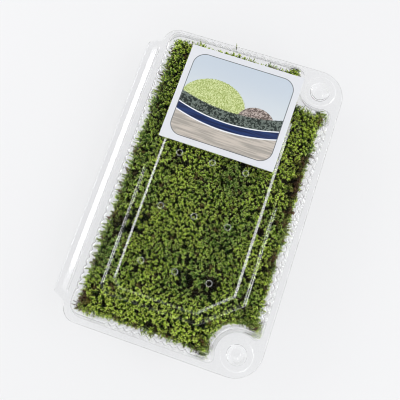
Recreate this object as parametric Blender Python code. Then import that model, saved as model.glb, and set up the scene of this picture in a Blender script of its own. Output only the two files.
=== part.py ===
"""A clump of living moss in a clear hinged pack, closed, with a printed card on the lid.

X runs across the pack, away from the hinge. Y runs along it, towards the card. Z is up.
The origin is the middle of the footprint, on the surface that the pack stands on.
Sizes are in millimetres, and become metres where a mesh is made.
"""

import math

import bmesh
import bpy
from mathutils import Vector, noise
from mathutils.geometry import delaunay_2d_cdt

MM = 0.001

# The whole pack
PACK_LENGTH = 205.0
PACK_WIDTH = 135.0  # with the hinge strip
SHEET = 0.5  # thickness of the clear plastic
REST_GAP = 0.3  # between pieces that touch

# The rim, where tray and lid meet
HINGE_STRIP = 8.5
FLANGE = 4.0
STEP_START = 1.6  # the rim's small step up, measured in from its edge
STEP_END = 2.4
STEP_RISE = 0.6
HINGE_CORNER = 10.0
SNAP_CORNER = 18.0

# The cavity
CAVITY_CORNER = 9.0
SHARPEST_CORNER = 1.5
NOTCH_RADIUS = 13.5  # the cavity keeps this far from each snap button
NOTCH_FILLET = 4.0
FLUTE_PITCH = 4.9
FLUTE_DEPTH = 1.8
SHORT_FLUTES = (-29.5, 24.5)  # the fluted stretch of each short side, in X
LONG_FLUTES_SNAP = 64.0  # half the fluted stretch of the side with the buttons
LONG_FLUTES_HINGE = 84.0

# The tray
TRAY_DEPTH = 24.7
TRAY_WALL_FOOT = 2.6
TRAY_DRAFT = 6.0
FLOOR_EDGE = 9.0  # how far the flat floor keeps inside the cavity's edge

# The lid
LID_WALL = 9.6
LID_DRAFT = 4.6
SHOULDER_RISE = 11.2
SHOULDER_INSET = 7.2
PANEL_FOOT_RISE = 12.0
PANEL_RISE = 14.5
PANEL_FOOT_X = (-37.0, 46.0)
PANEL_FOOT_END = 78.0
PANEL_X = (-30.5, 39.0)
PANEL_END = 72.5
PANEL_FOOT_ARC = 30.0  # arcs round the snap buttons cut the panel's corners
PANEL_ARC = 35.0
PANEL_CHAMFER = 4.5

# The small round dimples pressed into the panel
DIMPLE_COLUMNS = (-20.0, 1.6, 23.2)
DIMPLE_ROWS = (-54.0, -18.5, 17.0, 52.5)
DIMPLE_RADIUS = 1.9
DIMPLE_FLOOR = 1.5
DIMPLE_DEPTH = 0.5

# The snap buttons: a plug under the lid in a socket of the tray
BUTTON = Vector((52.0, 88.5))
SOCKET_RADIUS = 6.2
SOCKET_DEPTH = 4.0
PLUG_RADIUS = 5.6
PLUG_DEPTH = 3.3
PLUG_TAPER = 0.4

# The hinge: a bead along each half of the strip, and the fold at its outer edge
HINGE_BEAD = 1.6
BEAD_PROFILE = ((7.7, 0.0), (6.9, 1.0), (3.4, 1.0), (2.6, 0.0), (0.0, 0.0))  # in from the fold, share
HINGE_ROOT_END = 92.0
HINGE_TIP_END = 88.0
BEAD_TAPER = 3.0
FOLD_CLEARANCE = 0.3

# The card
CARD_SIZE = (75.0, 65.0)
CARD_CENTRE = (1.8, 55.5)
CARD_TURN = -0.7  # degrees
CARD_THICKNESS = 0.4

# The moss: it follows the walls, this far inside them, and its tips nearly reach the panel
MOSS_WALL_GAP = FLUTE_DEPTH + 0.5
MOSS_FOOT_RISE = 1.2
MOSS_SHRINK = 1.8  # how far it draws back from the rim, where its edge begins to round over
MOSS_CROWN = 2.6  # and from the lid's brow
MOSS_RAGGED = 1.5
RAGGED_LENGTH = 11.0
MOSS_TOP = 37.1
MOSS_LUMP = 1.3
MOSS_TOP_GAP = 1.2  # at least this far under the lid
MOSS_MIDDLE_X = 3.0
MOSS_MIDDLE_Y = 44.5  # half the length of the line that its sides face
MOSS_SPACING = 7.3  # between points along its edge
MOSS_GRID = 8.0  # between points on its top

# How finely round shapes are cut
RIM_STEPS = 6
CORNER_STEPS = 4
NOTCH_STEPS = 9
PANEL_STEPS = 5
BUTTON_STEPS = 20
DIMPLE_STEPS = 8

LEFT = -PACK_WIDTH / 2 + HINGE_STRIP
RIGHT = PACK_WIDTH / 2
END = PACK_LENGTH / 2
LID_BASE = TRAY_DEPTH + REST_GAP
PANEL_TOP = LID_BASE + PANEL_RISE
HINGE_AXIS = Vector((-PACK_WIDTH / 2 - FOLD_CLEARANCE, 0.0, TRAY_DEPTH + REST_GAP / 2))
CLOSE = 1e-3  # points nearer than this are the same


def arc(centre, radius, start, end, steps):
    """Points on a circle from start to end, in degrees, with both ends."""
    angles = [math.radians(start + (end - start) * i / steps) for i in range(steps + 1)]
    return [(centre[0] + radius * math.cos(a), centre[1] + radius * math.sin(a)) for a in angles]


def direction(origin, target):
    """The angle of target as seen from origin, in degrees."""
    return math.degrees(math.atan2(target[1] - origin[1], target[0] - origin[0]))


def mirrored(points):
    """The same run on the other end of the pack, in reverse, so that an outline keeps its sense."""
    return [(x, -y) for x, y in reversed(points)]


def flutes(start, end, inward):
    """A zigzag from start to end, both on the line, whose inner points stand inward by the flute depth."""
    start, end, inward = Vector(start), Vector(end), Vector(inward)
    halves = 2 * round((end - start).length / FLUTE_PITCH)
    points = []
    for i in range(halves + 1):
        point = start.lerp(end, i / halves)
        points.append(tuple(point + inward * (FLUTE_DEPTH if i % 2 else 0.0)))
    return points


def flange_outline(inset):
    """The rim's outline, anticlockwise, this far inside its edge."""
    snap = (RIGHT - SNAP_CORNER, END - SNAP_CORNER)
    hinge = (LEFT + HINGE_CORNER, END - HINGE_CORNER)
    right = arc(snap, SNAP_CORNER - inset, 0, 90, RIM_STEPS)
    left = arc(hinge, HINGE_CORNER - inset, 90, 180, RIM_STEPS)
    left += [(LEFT + inset, HINGE_ROOT_END), (LEFT + inset, HINGE_ROOT_END - BEAD_TAPER)]
    return mirrored(right) + right + left + mirrored(left)


def notch(right, top, inset):
    """The cavity's edge round a snap button: a fillet, the arc round the button, and a fillet."""
    radius = NOTCH_RADIUS + inset
    reach = radius + NOTCH_FILLET
    low_x = right - NOTCH_FILLET
    low = (low_x, BUTTON.y - math.sqrt(reach**2 - (low_x - BUTTON.x) ** 2))
    high_y = top - NOTCH_FILLET
    high = (BUTTON.x - math.sqrt(reach**2 - (high_y - BUTTON.y) ** 2), high_y)
    points = arc(low, NOTCH_FILLET, 0, direction(low, BUTTON), CORNER_STEPS)
    far_side = direction(BUTTON, high) % 360.0 - 360.0
    points += arc(BUTTON, radius, direction(BUTTON, low), far_side, NOTCH_STEPS)[1:-1]
    return points + arc(high, NOTCH_FILLET, direction(high, BUTTON), 90, CORNER_STEPS)


def cavity_outline(inset, fluted=True):
    """The cavity's outline, anticlockwise, this far inside its edge at the rim."""
    left, right, top = LEFT + FLANGE + inset, RIGHT - FLANGE - inset, END - FLANGE - inset
    radius = max(CAVITY_CORNER - inset, SHARPEST_CORNER)
    corner = notch(right, top, inset)
    hinge_corner = arc((left + radius, top - radius), radius, 90, 180, CORNER_STEPS)
    if not fluted:
        return mirrored(corner) + corner + hinge_corner + mirrored(hinge_corner)
    snap_side = flutes((right, -LONG_FLUTES_SNAP), (right, LONG_FLUTES_SNAP), (-1, 0))
    top_side = flutes((SHORT_FLUTES[1], top), (SHORT_FLUTES[0], top), (0, -1))
    hinge_side = flutes((left, LONG_FLUTES_HINGE), (left, -LONG_FLUTES_HINGE), (1, 0))
    upper = corner + top_side + hinge_corner
    return mirrored(corner) + snap_side + upper + hinge_side + mirrored(top_side + hinge_corner)


def panel_outline(sides, end, radius):
    """A rectangle with chamfered hinge corners, whose snap corners are cut by arcs round the buttons."""
    on_side = (sides[1], BUTTON.y - math.sqrt(radius**2 - (BUTTON.x - sides[1]) ** 2))
    on_end = (BUTTON.x - math.sqrt(radius**2 - (BUTTON.y - end) ** 2), end)
    start, finish = direction(BUTTON, on_side), direction(BUTTON, on_end)
    snap = arc(BUTTON, radius, start, finish, PANEL_STEPS)
    hinge = [(sides[0] + PANEL_CHAMFER, end), (sides[0], end - PANEL_CHAMFER)]
    return mirrored(snap) + snap + hinge + mirrored(hinge)


def ring(bm, outline, z):
    """Vertices along an outline, all at one height."""
    return [bm.verts.new((x, y, z)) for x, y in outline]


def bridge(bm, first, second):
    """Quads between two closed rings of the same length."""
    for i, vert in enumerate(first):
        after = (i + 1) % len(first)
        bm.faces.new((vert, first[after], second[after], second[i]))


def inside(point, outline):
    """Whether a closed outline goes round this point, seen from above."""
    crossings = 0
    for (ax, ay), (bx, by) in zip(outline, outline[1:] + outline[:1]):
        if (ay > point.y) != (by > point.y):
            crossings += point.x < ax + (point.y - ay) / (by - ay) * (bx - ax)
    return crossings % 2 == 1


def fill(bm, *rings, points=()):
    """A flat or nearly flat face between closed rings, through any points given inside it."""
    verts = [vert for closed in rings for vert in closed]
    outlines = [[vert.co.xy for vert in closed] for closed in rings]
    edges = []
    for closed in rings:
        first = len(edges)
        edges += [(first + i, first + (i + 1) % len(closed)) for i in range(len(closed))]
    verts += points
    made = delaunay_2d_cdt([vert.co.xy for vert in verts], edges, [], 1, CLOSE * MM)
    places, faces, sources = made[0], made[2], made[3]
    for face in faces:
        middle = (places[face[0]] + places[face[1]] + places[face[2]]) / 3
        if sum(inside(middle, outline) for outline in outlines) % 2:
            bm.faces.new([verts[sources[i][0]] for i in face])


def add_dish(bm, centre, top, bottom, steps):
    """A round dish between two (radius, height) rings, with a flat floor. Returns its top ring."""
    high = ring(bm, arc(centre, top[0], 0, 360, steps)[:-1], top[1])
    low = ring(bm, arc(centre, bottom[0], 0, 360, steps)[:-1], bottom[1])
    bridge(bm, high, low)
    bm.faces.new(low)
    return high


def snap_centres():
    return (BUTTON, Vector((BUTTON.x, -BUTTON.y)))


def add_hinge_strip(bm, root, z, bead):
    """The strip that runs out from four points of the rim to the fold, with a bead pressed along it."""
    columns = [root]
    for inward, share in BEAD_PROFILE:
        end = HINGE_TIP_END + (HINGE_ROOT_END - HINGE_TIP_END) * inward / HINGE_STRIP
        crest = z + bead * share
        places = ((end, z), (end - BEAD_TAPER, crest), (BEAD_TAPER - end, crest), (-end, z))
        x = -PACK_WIDTH / 2 + inward
        columns.append([bm.verts.new((x, y, height)) for y, height in places])
    for inner, outer in zip(columns, columns[1:]):
        for i in range(len(root) - 1):
            bm.faces.new((inner[i], inner[i + 1], outer[i + 1], outer[i]))


def add_rim(bm, z, bead):
    """The stepped rim and its hinge strip. Returns the step's inner ring."""
    edge = ring(bm, flange_outline(0.0), z)
    outer = ring(bm, flange_outline(STEP_START), z)
    inner = ring(bm, flange_outline(STEP_END), z + STEP_RISE)
    bridge(bm, edge, outer)
    bridge(bm, outer, inner)
    on_left = [vert for vert in edge if abs(vert.co.x - LEFT) < CLOSE]
    root = [vert for vert in on_left if abs(vert.co.y) < HINGE_ROOT_END + CLOSE]
    root.sort(key=lambda vert: -vert.co.y)
    add_hinge_strip(bm, root, z, bead)
    return inner


def mesh_object(name, bm, origin=(0.0, 0.0, 0.0)):
    """An object whose mesh is in metres and keeps its place, with its own origin at this point."""
    bmesh.ops.translate(bm, vec=-Vector(origin), verts=bm.verts)
    bmesh.ops.scale(bm, vec=(MM, MM, MM), verts=bm.verts)
    mesh = bpy.data.meshes.new(name)
    bm.to_mesh(mesh)
    bm.free()
    obj = bpy.data.objects.new(name, mesh)
    bpy.context.scene.collection.objects.link(obj)
    obj.location = Vector(origin) * MM
    return obj


def sheet_object(name, bm, facing, origin=(0.0, 0.0, 0.0)):
    """A formed sheet. Its drawn side faces up (1) or down (-1), and its thickness lies behind that side."""
    bmesh.ops.recalc_face_normals(bm, faces=bm.faces)
    widest = max(bm.faces, key=lambda face: face.calc_area())
    if widest.normal.z * facing < 0:
        bmesh.ops.reverse_faces(bm, faces=bm.faces)
    obj = mesh_object(name, bm, origin)
    thickness = obj.modifiers.new("sheet", "SOLIDIFY")
    thickness.thickness = SHEET * MM
    thickness.offset = -1.0
    thickness.use_even_offset = True
    return obj


def material(name, colour, roughness, transmission=0.0, ior=1.45, alpha=1.0):
    made = bpy.data.materials.new(name)
    made.use_nodes = True
    shader = made.node_tree.nodes["Principled BSDF"]
    shader.inputs["Base Color"].default_value = (*colour, 1.0)
    shader.inputs["Roughness"].default_value = roughness
    shader.inputs["Metallic"].default_value = 0.0
    shader.inputs["Transmission Weight"].default_value = transmission
    shader.inputs["IOR"].default_value = ior
    made.diffuse_color = (*colour, alpha)
    return made


def clear_plastic(name):
    return material(name, (0.94, 0.955, 0.965), 0.07, transmission=1.0, ior=1.57, alpha=0.3)


def hang_on(obj, hinge):
    """obj turns with the hinge, whose empty stands on obj's own origin."""
    obj.parent = hinge
    obj.location = (0.0, 0.0, 0.0)


def build_tray():
    bm = bmesh.new()
    rim = add_rim(bm, TRAY_DEPTH, -HINGE_BEAD)
    top = TRAY_DEPTH + STEP_RISE
    opening = (SOCKET_RADIUS, top)
    floor = (SOCKET_RADIUS, top - SOCKET_DEPTH)
    sockets = [add_dish(bm, centre, opening, floor, BUTTON_STEPS) for centre in snap_centres()]
    mouth = ring(bm, cavity_outline(0.0), top)
    foot = ring(bm, cavity_outline(TRAY_DRAFT), TRAY_WALL_FOOT)
    floor = ring(bm, cavity_outline(FLOOR_EDGE, fluted=False), SHEET)
    fill(bm, rim, mouth, *sockets)
    bridge(bm, mouth, foot)
    fill(bm, foot, floor)
    fill(bm, floor)
    tray = sheet_object("tray", bm, 1)
    tray.data.materials.append(clear_plastic("tray_plastic"))


def build_lid(hinge):
    bm = bmesh.new()
    rim = add_rim(bm, LID_BASE, HINGE_BEAD)
    base = LID_BASE + STEP_RISE
    root = (PLUG_RADIUS, base)
    tip = (PLUG_RADIUS - PLUG_TAPER, base - PLUG_DEPTH)
    plugs = [add_dish(bm, centre, root, tip, BUTTON_STEPS) for centre in snap_centres()]
    mouth = ring(bm, cavity_outline(0.0), base)
    brow = ring(bm, cavity_outline(LID_DRAFT), LID_BASE + LID_WALL)
    shoulder = ring(bm, cavity_outline(SHOULDER_INSET, fluted=False), LID_BASE + SHOULDER_RISE)
    foot_outline = panel_outline(PANEL_FOOT_X, PANEL_FOOT_END, PANEL_FOOT_ARC)
    panel_foot = ring(bm, foot_outline, LID_BASE + PANEL_FOOT_RISE)
    panel = ring(bm, panel_outline(PANEL_X, PANEL_END, PANEL_ARC), PANEL_TOP)
    brim = (DIMPLE_RADIUS, PANEL_TOP)
    pit = (DIMPLE_FLOOR, PANEL_TOP - DIMPLE_DEPTH)
    places = [(x, y) for x in DIMPLE_COLUMNS for y in DIMPLE_ROWS]
    dimples = [add_dish(bm, place, brim, pit, DIMPLE_STEPS) for place in places]
    fill(bm, rim, mouth, *plugs)
    bridge(bm, mouth, brow)
    fill(bm, brow, shoulder)
    fill(bm, shoulder, panel_foot)
    bridge(bm, panel_foot, panel)
    fill(bm, panel, *dimples)
    lid = sheet_object("lid", bm, -1, HINGE_AXIS)
    lid.data.materials.append(clear_plastic("lid_plastic"))
    hang_on(lid, hinge)


def build_card(hinge):
    bm = bmesh.new()
    half_width, half_height = CARD_SIZE[0] / 2, CARD_SIZE[1] / 2
    reach = math.hypot(half_width, half_height)
    corner = direction((0.0, 0.0), (half_width, half_height))
    outline = []
    for angle in (corner, 180.0 - corner, 180.0 + corner, -corner):
        outline += arc(CARD_CENTRE, reach, angle + CARD_TURN, angle, 1)[:1]
    bottom = PANEL_TOP + SHEET + REST_GAP
    low = ring(bm, outline, bottom)
    high = ring(bm, outline, bottom + CARD_THICKNESS)
    bridge(bm, low, high)
    bm.faces.new(reversed(low))
    bm.faces.new(high)
    card = mesh_object("label_card", bm, HINGE_AXIS)
    card.data.materials.append(material("card_paper", (0.86, 0.88, 0.9), 0.45))
    hang_on(card, hinge)


def wall_inset(height):
    """How far the wall of the closed pack stands inside the cavity's edge at this height."""
    mouth = LID_BASE + STEP_RISE / 2
    if height < mouth:
        return TRAY_DRAFT * (mouth - height) / (mouth - TRAY_WALL_FOOT)
    brow = LID_BASE + LID_WALL
    return LID_DRAFT * (height - mouth) / (brow - mouth)


def moss_rim(inset):
    """The mat's outline, about evenly spaced and anticlockwise, with as many points at every inset."""
    rim = [Vector(point) for point in cavity_outline(0.0, fluted=False)]
    moved = [Vector(point) for point in cavity_outline(inset, fluted=False)]
    points = []
    for i, start in enumerate(moved):
        after = (i + 1) % len(moved)
        steps = max(1, round((rim[after] - rim[i]).length / MOSS_SPACING))
        points += [start.lerp(moved[after], k / steps) for k in range(steps)]
    return points


def ragged(point):
    """0 to 1, uneven along the mat's edge."""
    place = Vector((point.x / RAGGED_LENGTH, point.y / RAGGED_LENGTH, 3.7))
    return min(1.0, 2.2 * abs(noise.noise(place)))


def moss_height(point):
    """The top of the mat at this place: lumpy, and lower under the lid's shoulder."""
    broad = noise.noise(Vector((point.x / 13.0, point.y / 13.0, 8.1)))
    fine = noise.noise(Vector((point.x / 5.5, point.y / 5.5, 2.3)))
    under_panel = inside(point, panel_outline(PANEL_X, PANEL_END, PANEL_ARC))
    ceiling = (PANEL_TOP if under_panel else LID_BASE + SHOULDER_RISE) - MOSS_TOP_GAP
    return min(ceiling, MOSS_TOP + (broad + 0.6 * fine) * MOSS_LUMP)


def moss_level(bm, height, inset, share):
    """One ring of the mat's side, drawn in towards its middle by a share of the raggedness."""
    outline = []
    for point in moss_rim(inset):
        middle = Vector((MOSS_MIDDLE_X, max(-MOSS_MIDDLE_Y, min(MOSS_MIDDLE_Y, point.y))))
        inward = (middle - point).normalized()
        outline.append(tuple(point + inward * ragged(point) * MOSS_RAGGED * share))
    return ring(bm, outline, height)


def build_moss():
    """One mat. Its sides follow the tray and the lid, its edge is ragged, and its top is lumpy."""
    bm = bmesh.new()
    rings = [moss_level(bm, SHEET + REST_GAP, FLOOR_EDGE, 0.2)]
    levels = (  # height, drawn back from the wall, share of the raggedness
        (TRAY_WALL_FOOT + MOSS_FOOT_RISE, 0.0, 0.5),
        (TRAY_DEPTH * 0.7, 0.0, 0.8),
        (LID_BASE + 1.0, MOSS_SHRINK, 1.0),
        (LID_BASE + 0.6 * LID_WALL, MOSS_SHRINK, 1.0),
        (LID_BASE + LID_WALL, MOSS_CROWN, 1.0),
    )
    for height, back, share in levels:
        rings.append(moss_level(bm, height, wall_inset(height) + MOSS_WALL_GAP + back, share))
    for first, second in zip(rings, rings[1:]):
        bridge(bm, first, second)
    bm.faces.new(reversed(rings[0]))
    edge = rings[-1]
    edge_outline = [vert.co.xy for vert in edge]
    row_pitch = MOSS_GRID * math.sqrt(3.0) / 2
    inner = []
    for row in range(round(PACK_LENGTH / row_pitch)):
        for column in range(round(PACK_WIDTH / MOSS_GRID)):
            x = -PACK_WIDTH / 2 + (column + row % 2 / 2) * MOSS_GRID
            point = Vector((x, -PACK_LENGTH / 2 + row * row_pitch))
            clear = min((place - point).length for place in edge_outline)
            if clear > MOSS_GRID / 2 and inside(point, edge_outline):
                inner.append(bm.verts.new((*point, moss_height(point))))
    fill(bm, edge, points=inner)
    bmesh.ops.recalc_face_normals(bm, faces=bm.faces)
    moss = mesh_object("moss_mat", bm)
    moss.data.materials.append(material("moss_green", (0.16, 0.27, 0.04), 0.85))


def main():
    for obj in list(bpy.data.objects):
        bpy.data.objects.remove(obj)
    hinge = bpy.data.objects.new("lid_hinge", None)
    hinge.location = HINGE_AXIS * MM
    bpy.context.scene.collection.objects.link(hinge)
    build_tray()
    build_moss()
    build_lid(hinge)
    build_card(hinge)


main()
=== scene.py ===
"""Looks of a clump of living moss in a clear hinged food pack, shut, with a printed card on its lid.

X runs across the pack, away from the hinge. Y runs along it, towards the card. Z is up.
Sizes are in millimetres, and become metres where a mesh is made.
"""

import math

import bmesh
import bpy
import numpy as np
from mathutils import Matrix, Vector, noise
from mathutils.geometry import delaunay_2d_cdt


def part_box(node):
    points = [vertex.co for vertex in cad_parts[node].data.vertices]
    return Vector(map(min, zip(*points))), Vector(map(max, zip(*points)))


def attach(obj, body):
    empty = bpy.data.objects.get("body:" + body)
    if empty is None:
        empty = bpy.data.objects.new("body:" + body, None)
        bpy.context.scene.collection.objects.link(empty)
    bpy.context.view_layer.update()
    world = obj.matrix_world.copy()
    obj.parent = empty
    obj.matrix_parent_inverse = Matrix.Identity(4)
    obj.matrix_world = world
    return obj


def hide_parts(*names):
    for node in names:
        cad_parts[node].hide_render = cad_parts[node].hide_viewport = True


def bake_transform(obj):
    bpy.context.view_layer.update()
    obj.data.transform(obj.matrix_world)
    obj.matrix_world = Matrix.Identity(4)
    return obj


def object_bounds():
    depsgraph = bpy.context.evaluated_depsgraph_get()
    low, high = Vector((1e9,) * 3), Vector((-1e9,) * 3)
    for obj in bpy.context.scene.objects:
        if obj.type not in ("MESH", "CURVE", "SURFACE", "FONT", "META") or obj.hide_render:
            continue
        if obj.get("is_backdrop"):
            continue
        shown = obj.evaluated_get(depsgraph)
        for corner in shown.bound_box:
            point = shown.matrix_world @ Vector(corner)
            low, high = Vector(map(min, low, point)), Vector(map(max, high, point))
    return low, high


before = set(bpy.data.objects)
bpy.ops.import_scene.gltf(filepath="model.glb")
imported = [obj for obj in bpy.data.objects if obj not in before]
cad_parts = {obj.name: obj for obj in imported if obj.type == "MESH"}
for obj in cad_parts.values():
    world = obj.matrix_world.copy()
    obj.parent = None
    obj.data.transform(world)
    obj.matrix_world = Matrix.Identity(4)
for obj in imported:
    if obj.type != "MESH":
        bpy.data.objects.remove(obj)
cad_low, cad_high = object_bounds()

# ---- Camera ------------------------------------------------------------------------------
# It looks down on the pack from beyond the near end of the snap side, and is turned so that
# the far end of the pack leans to the right in the picture.

MM = 0.001
PICTURE_SIDE = 400  # pixels
FOCAL_LENGTH = 580  # pixels
SENSOR = 36.0
CAMERA_PLACE = Vector((38.7, -72.6, 386.7))
CAMERA_AIM = Vector((0.3, -5.0, 25.0))
PACK_LEAN = 19.1  # degrees from the picture's upward direction to the pack's +Y, clockwise

scene = bpy.context.scene


def new_object(name, data):
    made = bpy.data.objects.new(name, data)
    scene.collection.objects.link(made)
    return made


ahead = (CAMERA_AIM - CAMERA_PLACE).normalized()
along_pack = (Vector((0, 1, 0)) - ahead * ahead.y).normalized()
lean = math.radians(PACK_LEAN)
upward = along_pack * math.cos(lean) - ahead.cross(along_pack) * math.sin(lean)
camera_axes = Matrix((ahead.cross(upward), upward, -ahead)).transposed()
camera = new_object("camera", bpy.data.cameras.new("camera"))
camera.data.sensor_width = SENSOR
camera.data.lens = SENSOR * FOCAL_LENGTH / PICTURE_SIDE
camera.data.clip_start = 0.01
camera.matrix_world = Matrix.Translation(CAMERA_PLACE * MM) @ camera_axes.to_4x4()
scene.camera = camera

# ---- Tray --------------------------------------------------------------------------------
# The lower half of the pack: one thin clear sheet, heated and drawn by vacuum into a mould.
# Its walls are fluted for stiffness, its rim is stepped, and its two corners away from the
# hinge hold the sockets of the snap buttons.

SHEET = 0.25
LENGTH = 205.0
WIDTH = 135.0
HINGE_STRIP = 8.5
LEFT = -WIDTH / 2 + HINGE_STRIP
RIGHT = WIDTH / 2
END = LENGTH / 2
FLANGE = 4.0
HINGE_CORNER = 10.0
SNAP_CORNER = 18.0
RIM_LIP = ((0.0, -0.35), (0.15, -0.1), (0.5, 0.0))  # the rolled edge: inset, rise
RIM_STEP = ((0.8, 0.0), (1.65, 0.19), (1.85, 0.21), (2.8, 0.4))  # two gentle steps
STEP_RISE = 0.4

CAVITY_CORNER = 9.0
SHARPEST_CORNER = 1.5
NOTCH_RADIUS = 13.5
NOTCH_FILLET = 4.0
FLUTE_PITCH = 4.9
FLUTE_DEPTH = 1.5
FLUTE_POINTS = 6
SHORT_FLUTES = (-29.5, 24.5)
LONG_FLUTES_SNAP = 64.0
LONG_FLUTES_HINGE = 84.0

TRAY_DEPTH = 24.7
FLOOR_EDGE = 9.0

BUTTON = Vector((52.0, 88.5))
PAD_RADIUS = 10.3  # the round pad about each button
PAD_RISE = 0.4
PAD_EDGE = 0.8
SOCKET_RADIUS = 6.2
SOCKET_DEPTH = 4.0

BEAD_HEIGHT = 1.75
BEAD_SPAN = (3.6, 7.3, 8.1)  # the hinge bead's outer foot, crest and inner foot, in from the fold
STRIP_COLUMNS = (8.1, 7.3, 3.6, 3.3, 1.2, 0.9, 0.6, 0.0)
STRIP_ROWS = (92.0, 91.0, 90.0, 89.0, 88.0, 87.0, 85.0, 60.0, 30.0)
BEAD_FADE = 5.0
HINGE_TIP_END = 88.0
FINE_ARC = 2.2  # the longest chord of a round stretch
PAD_STEPS = 56
SHARP_BEND = 50  # degrees, past which an edge isn't shaded smooth
CLEAR_COLOUR = (0.997, 0.998, 1.0)
STRAIGHT_THROUGH = (0.993, 0.994, 0.996)  # the share of light that passes each side of the sheet


def arc(centre, radius, start, end, steps=0):
    """Points on a circle from start to end, in degrees, with both ends."""
    steps = steps or max(4, math.ceil(abs(math.radians(end - start)) * radius / FINE_ARC))
    angles = [math.radians(start + (end - start) * i / steps) for i in range(steps + 1)]
    return [(centre[0] + radius * math.cos(a), centre[1] + radius * math.sin(a)) for a in angles]


def direction(origin, target):
    return math.degrees(math.atan2(target[1] - origin[1], target[0] - origin[0]))


def mirrored(points):
    return [(x, -y) for x, y in reversed(points)]


def flutes(start, end, inward, depth):
    """Scallops from start to end: round on the outside, with a crease between them that points inward."""
    start, end, inward = Vector(start), Vector(end), Vector(inward)
    steps = FLUTE_POINTS * round((end - start).length / FLUTE_PITCH)
    points = []
    for i in range(steps + 1):
        wave = abs(math.cos(math.pi * i / FLUTE_POINTS))
        crease = 1.0 - 0.5 * wave * (1.0 + wave)
        points.append(tuple(start.lerp(end, i / steps) + inward * depth * crease))
    return points


def flange_outline(inset):
    snap = (RIGHT - SNAP_CORNER, END - SNAP_CORNER)
    hinge = (LEFT + HINGE_CORNER, END - HINGE_CORNER)
    right = arc(snap, SNAP_CORNER - inset, 0, 90, 16)
    left = arc(hinge, HINGE_CORNER - inset, 90, 180, 10)
    left += [(LEFT + inset, y) for y in STRIP_ROWS if y < END - HINGE_CORNER]
    return mirrored(right) + right + left + [(LEFT + inset, 0.0)] + mirrored(left)


def notch(right, top, inset):
    """The cavity's edge round a snap button: a fillet, the arc round the button, and a fillet."""
    radius = NOTCH_RADIUS + inset
    reach = radius + NOTCH_FILLET
    low_x = right - NOTCH_FILLET
    low = (low_x, BUTTON.y - math.sqrt(reach**2 - (low_x - BUTTON.x) ** 2))
    high_y = top - NOTCH_FILLET
    high = (BUTTON.x - math.sqrt(reach**2 - (high_y - BUTTON.y) ** 2), high_y)
    points = arc(low, NOTCH_FILLET, 0, direction(low, BUTTON), 6)
    far_side = direction(BUTTON, high) % 360.0 - 360.0
    points += arc(BUTTON, radius, direction(BUTTON, low), far_side, 22)[1:-1]
    return points + arc(high, NOTCH_FILLET, direction(high, BUTTON), 90, 6)


def cavity_outline(inset, depth=FLUTE_DEPTH):
    """The cavity's outline, anticlockwise, this far inside its edge, with flutes of this depth."""
    left, right, top = LEFT + FLANGE + inset, RIGHT - FLANGE - inset, END - FLANGE - inset
    radius = max(CAVITY_CORNER - inset, SHARPEST_CORNER)
    corner = notch(right, top, inset)
    hinge_corner = arc((left + radius, top - radius), radius, 90, 180, 8)
    snap_side = flutes((right, -LONG_FLUTES_SNAP), (right, LONG_FLUTES_SNAP), (-1, 0), depth)
    top_side = flutes((SHORT_FLUTES[1], top), (SHORT_FLUTES[0], top), (0, -1), depth)
    hinge_side = flutes((left, LONG_FLUTES_HINGE), (left, -LONG_FLUTES_HINGE), (1, 0), depth)
    upper = corner + top_side + hinge_corner
    return mirrored(corner) + snap_side + upper + hinge_side + mirrored(top_side + hinge_corner)


def ring(bm, outline, z):
    return [bm.verts.new((x, y, z)) for x, y in outline]


def bridge(bm, first, second):
    for i, vert in enumerate(first):
        after = (i + 1) % len(first)
        bm.faces.new((vert, first[after], second[after], second[i]))


def bridge_all(bm, rings):
    for first, second in zip(rings, rings[1:]):
        bridge(bm, first, second)


def inside(point, outline):
    crossings = 0
    for (ax, ay), (bx, by) in zip(outline, outline[1:] + outline[:1]):
        if (ay > point.y) != (by > point.y):
            crossings += point.x < ax + (point.y - ay) / (by - ay) * (bx - ax)
    return crossings % 2 == 1


def fill(bm, *rings, loose=()):
    """Faces between closed rings, through the loose vertices that lie among them."""
    verts = [vert for closed in (*rings, loose) for vert in closed]
    outlines = [[tuple(vert.co.xy) for vert in closed] for closed in rings]
    edges = []
    for closed in rings:
        first = len(edges)
        edges += [(first + i, first + (i + 1) % len(closed)) for i in range(len(closed))]
    made = delaunay_2d_cdt([vert.co.xy for vert in verts], edges, [], 1, 1e-4)
    places, faces, sources = made[0], made[2], made[3]
    for face in faces:
        middle = (places[face[0]] + places[face[1]] + places[face[2]]) / 3
        if sum(inside(middle, outline) for outline in outlines) % 2:
            bm.faces.new([verts[sources[i][0]] for i in face])


def turned(bm, centre, profile, steps):
    """Rings round a centre, one for each (radius, height). Radius 0 closes it with a point."""
    rings = [ring(bm, arc(centre, r, 0, 360, steps)[:-1], z) for r, z in profile if r > 0]
    bridge_all(bm, rings)
    if profile[-1][0] == 0:
        tip = bm.verts.new((centre[0], centre[1], profile[-1][1]))
        for i, vert in enumerate(rings[-1]):
            bm.faces.new((vert, rings[-1][(i + 1) % steps], tip))
    else:
        bm.faces.new(rings[-1])
    return rings[0]


def bead_rise(inward, y):
    """How far the hinge bead stands off the strip, from 0 to 1."""
    across = float(np.interp(inward, BEAD_SPAN, (0.0, 1.0, 0.0)))
    ends = min(1.0, max(0.0, (HINGE_TIP_END - 0.5 - abs(y)) / BEAD_FADE))
    return across * math.sin(ends * math.pi / 2)


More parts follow.
